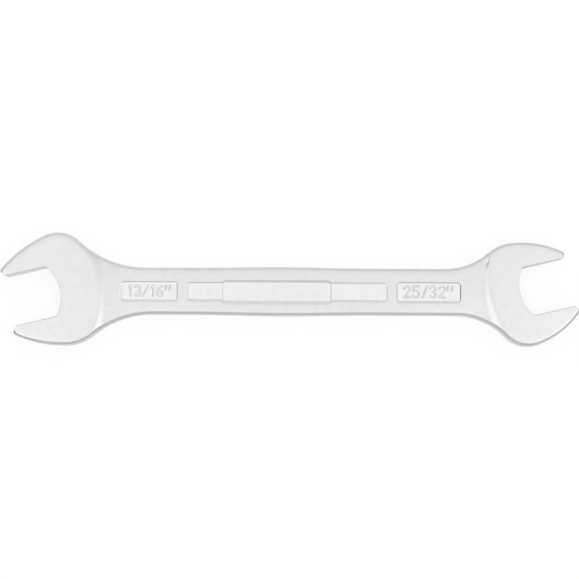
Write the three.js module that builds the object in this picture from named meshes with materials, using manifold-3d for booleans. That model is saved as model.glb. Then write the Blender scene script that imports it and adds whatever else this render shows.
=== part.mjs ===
// Double open end wrench: one drop forging with a different jaw at each end of a flat shank.
// Millimetres, +Z up. The wrench lies flat on z = 0, its length along X, centred on the Z axis.
// The larger jaw is at -X and the smaller one at +X, each turned by the jaw angle.

import * as THREE from 'three';
import { mergeVertices } from 'three/addons/utils/BufferGeometryUtils.js';
import Module from 'manifold-3d';

const wasm = await Module();
wasm.setup();

// Jaws: a standard size is the width across the flats of the nut, in inches.
const inch = 25.4;
const largeNutShare = 13 / 16;
const smallNutShare = 25 / 32;
const jawClearance = 0.2;
const jawAngleDegrees = 13.5;
const leadInDegrees = 50;
const edgeBreak = 0.35;

// Faces and edges.
const headThickness = 8;
const shankThickness = 6.6;
const shankCrown = 0.2;
const edgeBevelReach = 1;
const edgeBevelDrop = 0.6;
const edgeFallReach = 3;
const edgeFallDrop = 0.32;
const edgeFallBlendLength = 9;
const rampBlend = 0.1;
const rampAngleDegrees = 14;
const neckRise = 0.36;
const neckRiseLength = 14;

// Shank, seen from above. The swell that carries the marks takes up a share of the straight
// stretch on either side of the wrench's middle.
const shankHalfWidth = 9.45;
const shankSwell = 0.42;
const largeSwellShare = 0.72;
const smallSwellShare = 0.51;

// Each head is laid out from its pivot, where the middle line of the jaw crosses the shank's axis.
// Along is measured on the jaw's middle line, towards the tips; across is square to it. The heel is
// the side with the tall shoulder, and the toe is the other one. The web lies between the throat
// and the edge of the round boss that carries the head's flat faces.
const largeHead = {
  pivot: 94.3,
  opening: inch * largeNutShare + jawClearance,
  flatReach: 18.9,
  throatBottom: -1.3,
  throatRadius: 16.5,
  webWidth: 16.4,
  bossRadius: 29.8,
  heel: {
    shoulderAlong: -2.7, shoulderRadius: 12.45, sideWidth: 12.8, frontRadius: 49,
    tipReach: 20.8, lipWidth: 1.75, noseRadius: 2.1, neckRadius: 40, cornerRadius: 0.3,
  },
  toe: {
    shoulderAlong: -2.4, shoulderRadius: 17.6, sideWidth: 12.4, frontRadius: 48,
    tipReach: 20.8, lipWidth: 2.2, noseRadius: 2.1, neckRadius: 38, cornerRadius: 0.9,
  },
};
const smallHead = {
  pivot: 95.4,
  opening: inch * smallNutShare + jawClearance,
  flatReach: 18.3,
  throatBottom: -2,
  throatRadius: 17.1,
  webWidth: 12,
  bossRadius: 38.3,
  heel: {
    shoulderAlong: -0.9, shoulderRadius: 12.6, sideWidth: 11.8, frontRadius: 34.6,
    tipReach: 20.1, lipWidth: 1.85, noseRadius: 1.3, neckRadius: 29, cornerRadius: 1.2,
  },
  toe: {
    shoulderAlong: -2.7, shoulderRadius: 17.15, sideWidth: 10.9, frontRadius: 39,
    tipReach: 19.4, lipWidth: 1.35, noseRadius: 1.9, neckRadius: 28.3, cornerRadius: 1.2,
  },
};

// Recessed panels on both faces of the shank, from the large head to the small one. The second and
// the fourth run into the deeper one in the middle.
const panelOffset = -0.3;
const panelWall = 0.45;
const panels = [
  { from: -68.3, to: -45.1, width: 8.3, corner: 1.6, depth: 0.4 },
  { from: -41.6, to: -25, width: 7.7, corner: 1.4, depth: 0.35 },
  { from: -27.8, to: 17.4, width: 9.3, corner: 2, depth: 0.55 },
  { from: 14.6, to: 40, width: 7.7, corner: 1.4, depth: 0.35 },
  { from: 43.1, to: 69.5, width: 8.6, corner: 1.6, depth: 0.4 },
];

// Cutting tools run past the metal by this much.
const overrun = 2;

// Fineness of the curves: how far a chord may lie from its arc, and counts of steps.
const chordError = 0.012;
const swellSteps = 16;
const bisections = 30;
const cornerSteps = 3;

const jawAngle = THREE.MathUtils.degToRad(jawAngleDegrees);
const leadInSlope = Math.tan(THREE.MathUtils.degToRad(leadInDegrees));
const rampSlope = Math.tan(THREE.MathUtils.degToRad(rampAngleDegrees));
const headHalf = headThickness / 2;
const shankHalf = shankThickness / 2;

// The two points where two circles cross; pick is 1 for the one on the left of the way from a to b.
function crossCircles(a, radiusA, b, radiusB, pick) {
  const way = b.clone().sub(a);
  const distance = way.length();
  const along = (radiusA ** 2 - radiusB ** 2 + distance ** 2) / (2 * distance);
  const across = Math.sqrt(Math.max(radiusA ** 2 - along ** 2, 0));
  way.normalize();
  const side = new THREE.Vector2(-way.y, way.x);
  return a.clone().addScaledVector(way, along).addScaledVector(side, pick * across);
}

// The point at a distance from a, on the line from a towards b.
function towards(a, b, distance) {
  return b.clone().sub(a).setLength(distance).add(a);
}

// Adds to a row of points the arc round a centre that goes from the last of them to an end.
function addArc(points, centre, end, clockwise) {
  const start = points[points.length - 1];
  const radius = end.distanceTo(centre);
  const startAngle = Math.atan2(start.y - centre.y, start.x - centre.x);
  const endAngle = Math.atan2(end.y - centre.y, end.x - centre.x);
  const curve = new THREE.EllipseCurve(
    centre.x, centre.y, radius, radius, startAngle, endAngle, clockwise,
  );
  const stepLength = Math.sqrt(8 * radius * chordError);
  const steps = Math.ceil(curve.getLength() / stepLength) + 1;
  points.push(...curve.getPoints(steps).slice(1));
}

// From along and across in a jaw to the head's own plane, whose x runs from the wrench's middle
// towards this head. Side is -1 for the heel and 1 for the toe.
function fromJaw(head, side, along, across) {
  const point = new THREE.Vector2(along, side * across);
  return point.rotateAround(new THREE.Vector2(), jawAngle).add(new THREE.Vector2(head.pivot, 0));
}

// Centres and joints of the arcs on one side of a head: nose, front, shoulder and neck.
function headSide(head, side) {
  const sizes = side < 0 ? head.heel : head.toe;
  const halfOpening = head.opening / 2;
  const shoulderAcross = halfOpening + sizes.sideWidth - sizes.shoulderRadius;
  const shoulder = fromJaw(head, side, sizes.shoulderAlong, shoulderAcross);
  const noseAlong = sizes.tipReach - sizes.noseRadius;
  const nose = fromJaw(head, side, noseAlong, halfOpening + sizes.lipWidth);

  const shoulderToFront = sizes.frontRadius - sizes.shoulderRadius;
  const noseToFront = sizes.frontRadius - sizes.noseRadius;
  const front = crossCircles(shoulder, shoulderToFront, nose, noseToFront, -side);
  const frontEnd = towards(front, shoulder, sizes.frontRadius);
  const noseEnd = towards(front, nose, sizes.frontRadius);

  const neckY = side * (shankHalfWidth + sizes.neckRadius);
  const reach = sizes.shoulderRadius + sizes.neckRadius;
  const neckX = shoulder.x - Math.sqrt(reach ** 2 - (neckY - shoulder.y) ** 2);
  const neck = new THREE.Vector2(neckX, neckY);
  const neckEnd = towards(shoulder, neck, sizes.shoulderRadius);
  const shankEnd = new THREE.Vector2(neckX, side * shankHalfWidth);

  const tip = fromJaw(head, side, sizes.tipReach, halfOpening + sizes.lipWidth);

  return { sizes, shoulder, nose, tip, front, frontEnd, noseEnd, neck, neckEnd, shankEnd };
}

function layOut(head) {
  const bossAlong = head.throatBottom - head.webWidth + head.bossRadius;
  const boss = fromJaw(head, 1, bossAlong, 0);
  return { ...head, boss, heelSide: headSide(head, -1), toeSide: headSide(head, 1) };
}
const large = layOut(largeHead);
const small = layOut(smallHead);

// Where the swell starts and ends.
function straightReach({ heelSide, toeSide }) {
  return Math.min(heelSide.neck.x, toeSide.neck.x);
}
const swellStart = -largeSwellShare * straightReach(large);
const swellEnd = smallSwellShare * straightReach(small);
const swellMiddle = (swellStart + swellEnd) / 2;
const swellHalfLength = (swellEnd - swellStart) / 2;

// A head's outline before its jaw is cut, from the shank's heel side round both tips to its toe
// side, in the head's own plane.
function headOutline({ heelSide, toeSide }) {
  const points = [heelSide.shankEnd];
  addArc(points, heelSide.neck, heelSide.neckEnd, true);
  addArc(points, heelSide.shoulder, heelSide.frontEnd, false);
  addArc(points, heelSide.front, heelSide.noseEnd, false);
  addArc(points, heelSide.nose, heelSide.tip, false);
  points.push(toeSide.tip);
  addArc(points, toeSide.nose, toeSide.noseEnd, false);
  addArc(points, toeSide.front, toeSide.frontEnd, false);
  addArc(points, toeSide.shoulder, toeSide.neckEnd, false);
  addArc(points, toeSide.neck, toeSide.shankEnd, true);
  return points;
}

// Half the shank's width where it carries the marks: a low swell on straight sides.
function shankSide(x) {
  const share = THREE.MathUtils.clamp((x - swellMiddle) / swellHalfLength, -1, 1);
  return shankHalfWidth + shankSwell * (1 + Math.cos(Math.PI * share)) / 2;
}

// The swollen stretch of one side of the shank, from one end to the other. Turn is 1 towards +X.
function swellOutline(side, turn) {
  const points = [];
  for (let step = 0; step <= swellSteps; step += 1) {
    const x = swellMiddle + turn * swellHalfLength * (2 * step / swellSteps - 1);
    points.push(new THREE.Vector2(x, side * shankSide(x)));
  }
  return points;
}

// The whole outline seen from above. The large head points the other way, so it takes half a turn.
function wrenchOutline() {
  const turned = headOutline(large).map((point) => point.clone().negate());
  return new THREE.Shape([
    ...headOutline(small), ...swellOutline(1, -1), ...turned, ...swellOutline(-1, 1),
  ]);
}

// Half the width of the wrench at x behind the head's widest place, on one side of one head, and
// the slope of the outline there.
function neckSide(head, side, x) {
  const joints = side < 0 ? head.heelSide : head.toeSide;
  const { neck, neckEnd, shoulder, sizes } = joints;
  if (x < neck.x) {
    return { halfWidth: shankHalfWidth, slope: 0 };
  }
  if (x < neckEnd.x) {
    const rise = Math.sqrt(sizes.neckRadius ** 2 - (x - neck.x) ** 2);
    return { halfWidth: Math.abs(neck.y) - rise, slope: (x - neck.x) / rise };
  }
  const rise = Math.sqrt(Math.max(sizes.shoulderRadius ** 2 - (shoulder.x - x) ** 2, 0));
  return { halfWidth: side * shoulder.y + rise, slope: (shoulder.x - x) / rise };
}

// The same for the whole wrench, on the side that a share of the half width lies on: the lower
// edge of the outline for a negative share and the upper one otherwise.
function outlineAt(share, x) {
  const side = share < 0 ? -1 : 1;
  if (Math.abs(x - swellMiddle) < swellHalfLength) {
    return { halfWidth: shankSide(x), slope: 0 };
  }
  return x < 0 ? neckSide(large, -side, -x) : neckSide(small, side, x);
}

// How far a point lies outside the round boss that carries a head's flat face.
function bossDistance(head, x, y) {
  return Math.hypot(x - head.boss.x, y - head.boss.y) - head.bossRadius;
}

// Where the edge of a boss crosses the line at a share of the way from axis to outline.
function bossStation(head, turn, share) {
  let inner = head.heelSide.neck.x;
  let outer = head.heelSide.shoulder.x;
  for (let step = 0; step < bisections; step += 1) {
    const x = (inner + outer) / 2;
    const y = turn * share * outlineAt(share, turn * x).halfWidth;
    if (bossDistance(head, x, y) > 0) {
      inner = x;
    } else {
      outer = x;
    }
  }
  return turn * outer;
}

// Height of the shank's face above the middle plane, with its crown, the soft fall and the bevels
// along its edges and the ramps that rise to the flat faces of both heads. The necks are crowned
// more than the shank, so a ramp is lowest on the axis and grows towards the outline.
function faceHeight(x, y, share) {
  const distance = Math.min(bossDistance(large, -x, -y), bossDistance(small, x, y));
  const ramp = headHalf - rampSlope * distance;
  const neck = 1 - THREE.MathUtils.smoothstep(distance, 0, neckRiseLength);
  const crown = shankHalf + neckRise * neck * (1 - share ** 2) - shankCrown * share ** 2;
  const face = (ramp + crown + Math.hypot(ramp - crown, rampBlend)) / 2;

  const { halfWidth, slope } = outlineAt(share, x);
  const edgeDistance = (1 - Math.min(Math.abs(share), 1)) * halfWidth / Math.hypot(1, slope);
  const blend = THREE.MathUtils.smoothstep(distance, 0, edgeFallBlendLength);
  const fall = edgeFallDrop * blend * Math.max(1 - edgeDistance / edgeFallReach, 0) ** 2;
  const bevel = edgeBevelDrop * Math.max(1 - edgeDistance / edgeBevelReach, 0);
  return face - fall - bevel;
}

// A closed solid from a grid of points: its lower skin is the grid, and its top is level.
function solidOverGrid(grid, top) {
  const rows = grid.length;
  const columns = grid[0].length;
  const position = [];
  for (const row of grid) {
    for (const point of row) {
      position.push(point.x, point.y, point.z);
    }
  }
  for (const row of grid) {
    for (const point of row) {
      position.push(point.x, point.y, top);
    }
  }
  const lower = (row, column) => row * columns + column;
  const upper = (row, column) => rows * columns + row * columns + column;
  const index = [];
  const quad = (a, b, c, d) => index.push(a, b, c, a, c, d);
  for (let row = 0; row < rows - 1; row += 1) {
    for (let column = 0; column < columns - 1; column += 1) {
      quad(lower(row, column), lower(row, column + 1), lower(row + 1, column + 1), lower(row + 1, column));
      quad(upper(row, column), upper(row + 1, column), upper(row + 1, column + 1), upper(row, column + 1));
    }
    quad(lower(row, 0), lower(row + 1, 0), upper(row + 1, 0), upper(row, 0));
    const last = columns - 1;
    quad(lower(row, last), upper(row, last), upper(row + 1, last), lower(row + 1, last));
  }
  for (let column = 0; column < columns - 1; column += 1) {
    quad(lower(0, column), upper(0, column), upper(0, column + 1), lower(0, column + 1));
    const last = rows - 1;
    quad(lower(last, column), lower(last, column + 1), upper(last, column + 1), upper(last, column));
  }
  const geometry = new THREE.BufferGeometry();
  geometry.setAttribute('position', new THREE.Float32BufferAttribute(position, 3));
  geometry.setIndex(index);
  return geometry;
}

// Shares of the half width where the face is drawn, from the axis to the outline, and shares of the
// way from one boss to the other, close together on the ramps.
const acrossShares = [0, 0.14, 0.24, 0.34, 0.53, 0.66, 0.74, 0.81, 0.86, 0.895, 0.93, 0.965, 1];
const rampShares = [-0.03, -0.012, 0, 0.006, 0.012, 0.018, 0.025, 0.034, 0.046, 0.065, 0.09, 0.12, 0.16];
const middleShares = [0.21, 0.27, 0.33, 0.39, 0.45, 0.5];

// What the forging leaves free above one face of the shank, between the two heads.
function faceRelief() {
  const halfShares = [...rampShares, ...middleShares];
  const lengthShares = [...halfShares, ...halfShares.slice(0, -1).reverse().map((share) => 1 - share)];
  const widthShares = [...acrossShares.slice(1).reverse().map((share) => -share), ...acrossShares];
  const grid = lengthShares.map((lengthShare) => {
    const row = widthShares.map((share) => {
      const start = bossStation(large, -1, share);
      const end = bossStation(small, 1, share);
      const x = THREE.MathUtils.lerp(start, end, lengthShare);
      const y = share * outlineAt(share, x).halfWidth;
      return new THREE.Vector3(x, y, faceHeight(x, y, share));
    });
    const beside = (point, side) => new THREE.Vector3(point.x, point.y + side * overrun, point.z);
    return [beside(row[0], -1), ...row, beside(row[row.length - 1], 1)];
  });
  return solidOverGrid(grid, headHalf + overrun);
}

// One corner of a jaw's throat: the centre of its fillet, and where that meets flat and throat.
function throatCorner(head, side, throat) {
  const radius = (side < 0 ? head.heel : head.toe).cornerRadius;
  const across = head.opening / 2 - radius;
  const reach = head.throatRadius - radius;
  const along = head.throatBottom + head.throatRadius - Math.sqrt(reach ** 2 - across ** 2);
  const centre = fromJaw(head, side, along, across);
  const flat = fromJaw(head, side, along, head.opening / 2);
  return { centre, flat, throat: towards(throat, centre, head.throatRadius) };
}

// The jaw's opening seen from above: lead-in, flat, throat, flat and lead-in, in the head's plane.
function jawOutline(head) {
  const halfOpening = head.opening / 2;
  const throat = fromJaw(head, 1, head.throatBottom + head.throatRadius, 0);
  const past = Math.max(head.heel.tipReach, head.toe.tipReach) + overrun;
  const mouth = halfOpening + (past - head.flatReach) * leadInSlope;
  const heel = throatCorner(head, -1, throat);
  const toe = throatCorner(head, 1, throat);
  const points = [
    fromJaw(head, -1, past, mouth), fromJaw(head, -1, head.flatReach, halfOpening), heel.flat,
  ];
  addArc(points, heel.centre, heel.throat, true);
  addArc(points, throat, toe.throat, true);
  addArc(points, toe.centre, toe.flat, true);
  points.push(fromJaw(head, 1, head.flatReach, halfOpening), fromJaw(head, 1, past, mouth));
  return new THREE.Shape(points);
}

// A shape drawn upwards from one level to another.
function prism(shape, bottom, top) {
  const geometry = new THREE.ExtrudeGeometry(shape, { depth: top - bottom, bevelEnabled: false });
  return geometry.translate(0, 0, bottom);
}

// A shape that starts at a level and widens upwards by a margin over a rise, then goes straight on.
function flaredPrism(shape, bottom, rise, margin) {
  const geometry = new THREE.ExtrudeGeometry(shape, {
    depth: overrun, bevelThickness: rise, bevelSize: margin, bevelSegments: 1,
  });
  return geometry.translate(0, 0, bottom + rise);
}

// A rectangle with round corners, middled on a point.
function roundedRectangle(middleX, middleY, length, width, radius) {
  const right = length / 2 - radius;
  const top = width / 2 - radius;
  const shape = new THREE.Shape();
  const quarter = Math.PI / 2;
  shape.absarc(middleX + right, middleY + top, radius, 0, quarter);
  shape.absarc(middleX - right, middleY + top, radius, quarter, 2 * quarter);
  shape.absarc(middleX - right, middleY - top, radius, 2 * quarter, 3 * quarter);
  shape.absarc(middleX + right, middleY - top, radius, 3 * quarter, 4 * quarter);
  return new THREE.Shape(shape.getPoints(cornerSteps));
}

// One recessed panel's cutter above the upper face, with its walls leaning outwards.
function panelCutter({ from, to, width, corner, depth }) {
  const floorLength = to - from - 2 * panelWall;
  const floorWidth = width - 2 * panelWall;
  const floorCorner = corner - panelWall;
  const middle = (from + to) / 2;
  const floor = roundedRectangle(middle, panelOffset, floorLength, floorWidth, floorCorner);
  return flaredPrism(floor, shankHalf - depth, depth, panelWall);
}

// The bare geometry with shared corners that a closed solid needs.
function sharedCorners(geometry) {
  const bare = geometry.clone();
  bare.deleteAttribute('normal');
  bare.deleteAttribute('uv');
  return mergeVertices(bare);
}

// The same form below the middle plane.
function mirrored(geometry) {
  const copy = sharedCorners(geometry);
  copy.scale(1, 1, -1);
  copy.setIndex(Array.from(copy.index.array).reverse());
  return copy;
}

function toSolid(geometry) {
  const shared = sharedCorners(geometry);
  return new wasm.Manifold(new wasm.Mesh({
    numProp: 3,
    vertProperties: new Float32Array(shared.attributes.position.array),
    triVerts: new Uint32Array(shared.index.array),
  }));
}

function toGeometry(solid) {
  const mesh = solid.getMesh();
  const geometry = new THREE.BufferGeometry();
  geometry.setAttribute('position', new THREE.Float32BufferAttribute(mesh.vertProperties, 3));
  geometry.setIndex(Array.from(mesh.triVerts));
  return geometry;
}

// The forging before anything is cut: the whole outline at the heads' thickness, edges bevelled.
function forgingBlank() {
  const blank = new THREE.ExtrudeGeometry(wrenchOutline(), {
    depth: headThickness - 2 * edgeBevelDrop,
    bevelThickness: edgeBevelDrop,
    bevelSize: edgeBevelReach,
    bevelOffset: -edgeBevelReach,
    bevelSegments: 1,
  });
  return blank.translate(0, 0, edgeBevelDrop - headHalf);
}

// The jaws go right through. The reliefs, panels and broken edges are alike on both faces.
function forgeWrench() {
  const through = [];
  const faceCutters = [faceRelief(), ...panels.map(panelCutter)];
  for (const [head, turn] of [[large, Math.PI], [small, 0]]) {
    const jaw = jawOutline(head);
    const flare = flaredPrism(jaw, headHalf - edgeBreak, edgeBreak, edgeBreak);
    through.push(prism(jaw, -headHalf - overrun, headHalf + overrun).rotateZ(turn));
    faceCutters.push(flare.rotateZ(turn));
  }
  let solid = toSolid(forgingBlank());
  for (const cutter of [...through, ...faceCutters, ...faceCutters.map(mirrored)]) {
    solid = solid.subtract(toSolid(cutter));
  }
  return toGeometry(solid);
}

const satinChrome = new THREE.MeshStandardMaterial({ color: 0xd8d8d8, metalness: 1, roughness: 0.42 });

const wrench = new THREE.Group();
const forging = new THREE.Mesh(forgeWrench(), satinChrome);
forging.name = 'wrench_forging';
const box = new THREE.Box3().setFromObject(forging);
const middle = box.getCenter(new THREE.Vector3());
forging.position.set(-middle.x, -middle.y, -box.min.z);
wrench.add(forging);

export default wrench;
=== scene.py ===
import cmath
import math
from types import SimpleNamespace

import bpy
import numpy as np
from mathutils import Matrix, Vector


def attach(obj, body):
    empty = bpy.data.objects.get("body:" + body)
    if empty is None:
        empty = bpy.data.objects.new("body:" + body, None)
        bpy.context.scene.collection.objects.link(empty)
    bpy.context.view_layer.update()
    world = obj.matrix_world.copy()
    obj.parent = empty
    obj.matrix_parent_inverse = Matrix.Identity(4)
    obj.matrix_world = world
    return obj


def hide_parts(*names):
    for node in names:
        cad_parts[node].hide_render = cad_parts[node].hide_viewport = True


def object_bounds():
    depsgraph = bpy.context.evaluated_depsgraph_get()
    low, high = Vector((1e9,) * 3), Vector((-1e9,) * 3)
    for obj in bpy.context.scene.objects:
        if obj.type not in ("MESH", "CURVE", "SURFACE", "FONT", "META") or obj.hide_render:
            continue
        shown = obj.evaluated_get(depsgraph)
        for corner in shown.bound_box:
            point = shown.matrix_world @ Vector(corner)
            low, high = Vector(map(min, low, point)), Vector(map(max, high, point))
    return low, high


# A satin chrome open end wrench lying face up on a plain pale floor.
# Sizes are in millimetres in the wrench's own plane: x along the shank, y across it, and z = 0
# halfway through the metal. A point of that plane is the complex number x + iy, so a turn is a
# product. MM turns millimetres into metres where a mesh is made.

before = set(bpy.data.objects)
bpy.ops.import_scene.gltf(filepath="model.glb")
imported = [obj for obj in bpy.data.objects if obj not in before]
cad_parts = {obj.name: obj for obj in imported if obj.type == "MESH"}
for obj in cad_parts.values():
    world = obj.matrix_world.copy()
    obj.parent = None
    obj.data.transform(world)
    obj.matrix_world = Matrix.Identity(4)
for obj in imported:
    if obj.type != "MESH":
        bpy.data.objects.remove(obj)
cad_low, cad_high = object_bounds()

MM = 0.001
BODY = "root"
NODE = "wrench_forging"

# Jaws and heads: what both have in common. The heads are as thick as the CAD box.
INCH = 25.4
JAW_CLEARANCE = 0.2
JAW_TURN = cmath.exp(1j * math.radians(13.5))
LEAD_IN_TURN = cmath.exp(1j * math.radians(50))
JAW_BREAK = 0.18
HEAD_HALF = (cad_high.z - cad_low.z) / MM / 2

# Outer edges: a bevel with a small round corner at the side wall, and a soft fall of the face
# before it. On the heads that fall is LOWER_EDGE_FALL at the lower side and each head's own at the
# upper one, and it turns over from y = -EDGE_TURN to EDGE_TURN.
EDGE_BEVEL = SimpleNamespace(reach=1.0, drop=0.6, power=1.3)
EDGE_CORNER = 0.15
EDGE_FALL_REACH = 3.0
LOWER_EDGE_FALL = 0.06
EDGE_TURN = 3.0

# Shank: its width swells between two shares of the way from the middle to each neck. The necks'
# crown and rise run out over NECK_RISE_LENGTH from a boss, and the heads' edge fall over
# EDGE_FALL_BLEND.
SHANK_HALF = 3.3
SHANK_HALF_WIDTH = 9.45
SHANK_SWELL = 0.42
SWELL_SHARES = (0.72, 0.51)
SHANK_CROWN = 0.06
NECK_CROWN = 0.2
NECK_RISE_LENGTH = 14.0
SHANK_EDGE_FALL = 0.32
EDGE_FALL_BLEND = 9.0

# The two heads. A jaw's middle line leaves the shank's at the pivot, turned by JAW_TURN, and what
# lies along it is measured from there: the throat's bottom, the flats' and the tips' reach and the
# middles of the shoulders. Side is 1 on the left of that line and -1 on its right.
LARGE = SimpleNamespace(
    turn=-1, pivot=94.3, half_opening=(INCH * 13 / 16 + JAW_CLEARANCE) / 2, flat_reach=18.9,
    throat_bottom=-1.3, throat_radius=16.5, web=16.1, boss_radius=29.8,
    ramp_slope=math.tan(math.radians(14)), ramp_blend=0.1, neck_rise=0.36,
    neck_middle=-1.0, edge_fall=0.28,
    heel=SimpleNamespace(side=-1, shoulder_along=-2.7, shoulder_radius=12.45, side_width=12.8,
                         front_radius=49.0, tip_reach=20.8, lip=1.75, nose_radius=2.1,
                         neck_radius=40.0, corner_radius=0.3),
    toe=SimpleNamespace(side=1, shoulder_along=-2.4, shoulder_radius=17.6, side_width=12.4,
                        front_radius=48.0, tip_reach=20.8, lip=2.2, nose_radius=2.1,
                        neck_radius=38.0, corner_radius=0.9),
)
SMALL = SimpleNamespace(
    turn=1, pivot=95.4, half_opening=(INCH * 25 / 32 + JAW_CLEARANCE) / 2, flat_reach=18.3,
    throat_bottom=-2.0, throat_radius=17.1, web=11.9, boss_radius=38.3,
    ramp_slope=math.tan(math.radians(14.5)), ramp_blend=0.15, neck_rise=0.14,
    neck_middle=4.5, edge_fall=0.18,
    heel=SimpleNamespace(side=-1, shoulder_along=-0.9, shoulder_radius=12.6, side_width=11.8,
                         front_radius=34.6, tip_reach=20.1, lip=1.85, nose_radius=1.3,
                         neck_radius=29.0, corner_radius=1.2),
    toe=SimpleNamespace(side=1, shoulder_along=-2.7, shoulder_radius=17.15, side_width=10.9,
                        front_radius=39.0, tip_reach=19.4, lip=1.35, nose_radius=1.9,
                        neck_radius=28.3, corner_radius=1.2),
)
HEADS = (LARGE, SMALL)

# Recessed panels of the shank: ends, lower and upper side with the width of the wall there, width
# of the wall at the right end, corner radius and depth. All left ends have a wall START_WALL wide.
# Round a corner the wall's width passes from the side's to the end's, over WALL_TURN at the least.
START_WALL = 0.75
WALL_TURN = 0.2
PANELS = [
    SimpleNamespace(start=-68.3, end=-45.1, low=-4.65, low_wall=1.0, high=3.85, high_wall=0.5,
                    end_wall=0.75, corner=1.7, depth=0.32),
    SimpleNamespace(start=-41.6, end=-25.0, low=-4.4, low_wall=0.95, high=3.55, high_wall=0.5,
                    end_wall=0.75, corner=1.4, depth=0.35),
    SimpleNamespace(start=-27.8, end=17.4, low=-5.5, low_wall=1.6, high=4.5, high_wall=1.0,
                    end_wall=0.75, corner=2.0, depth=0.55),
    SimpleNamespace(start=14.6, end=40.0, low=-4.5, low_wall=1.05, high=3.75, high_wall=0.7,
                    end_wall=0.75, corner=1.4, depth=0.35),
    SimpleNamespace(start=43.1, end=69.5, low=-4.8, low_wall=1.05, high=4.05, high_wall=0.65,
                    end_wall=0.45, corner=1.6, depth=0.4),
]

# A short dent of the forging, on the small head's ramp.
DENT = SimpleNamespace(middle=80.0 + 11.5j, turn=cmath.exp(1j * math.radians(74)), length=1.8,
                       steep_width=0.5, soft_width=1.4, depth=0.24)

# How far each crease of the forging is softened.
BOSS_SOFTNESS = 0.07
JAW_SOFTNESS = 0.04
PANEL_SOFTNESS = 0.05

# Half the step over which a slope of the skin is measured.
NORMAL_STEP = 0.004


def smooth_max(a, b, width):
    return (a + b + np.hypot(a - b, width)) / 2


def smooth_min(a, b, width):
    return (a + b - np.hypot(a - b, width)) / 2


def smooth_step(value, low, high):
    share = np.clip((value - low) / (high - low), 0, 1)
    return share * share * (3 - 2 * share)


def half_chord(radius, distance):
    """Half the chord of a circle at a distance from its centre."""
    return np.sqrt(np.maximum(radius ** 2 - distance ** 2, 0))


class Line:
    """A straight stretch from one point to another."""

    def __init__(self, start, end):
        self.start = start
        self.way = end - start
        self.length = abs(self.way)

    def at(self, share):
        return self.start + self.way * share

    def distance(self, points):
        share = ((points - self.start) * np.conj(self.way)).real / self.length ** 2
        return abs(points - self.at(np.clip(share, 0, 1)))


class Arc:
    """A stretch of a circle from one point to another."""

    def __init__(self, centre, start, end, clockwise=False):
        self.centre = centre
        self.radius = abs(start - centre)
        self.begin = cmath.phase(start - centre)
        turn = (cmath.phase(end - centre) - self.begin) % math.tau
        self.sweep = turn - math.tau if clockwise else turn
        self.length = abs(self.sweep) * self.radius

    def at(self, share):
        return self.centre + self.radius * np.exp(1j * (self.begin + self.sweep * share))

    def distance(self, points):
        offset = points - self.centre
        turned = np.sign(self.sweep) * (np.angle(offset) - self.begin) % math.tau
        ends = np.minimum(abs(points - self.at(0)), abs(points - self.at(1)))
        return np.where(turned > abs(self.sweep), ends, abs(abs(offset) - self.radius))


def distance_to(curves, points):
    return np.minimum.reduce([curve.distance(points) for curve in curves])


def chain_shares(curves):
    """Where curves that follow each other start and end, as shares of their whole length."""
    lengths = np.array([curve.length for curve in curves])
    return np.concatenate([[0], np.cumsum(lengths)]) / lengths.sum()


def chain_at(curves, shares):
    """Points at shares of the whole length of curves that follow each other."""
    ends = chain_shares(curves)
    index = np.clip(np.searchsorted(ends, shares, side="right") - 1, 0, len(curves) - 1)
    points = np.zeros(len(shares), complex)
    for number, curve in enumerate(curves):
        mine = index == number
        points[mine] = curve.at((shares[mine] - ends[number]) / (ends[number + 1] - ends[number]))
    return points


def cross_circles(a, radius_a, b, radius_b, pick):
    """Where two circles cross: pick is 1 for the point on the left of the way from a to b."""
    way = b - a
    distance = abs(way)
    along = (radius_a ** 2 - radius_b ** 2 + distance ** 2) / (2 * distance)
    return a + way / distance * (along + 1j * pick * half_chord(radius_a, along))


def towards(a, b, distance):
    return a + (b - a) / abs(b - a) * distance


def from_jaw(head, side, along, across):
    """A point of the head's own plane, whose x runs from the wrench's middle towards this head."""
    return head.pivot + (along + 1j * side * across) * JAW_TURN


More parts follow.
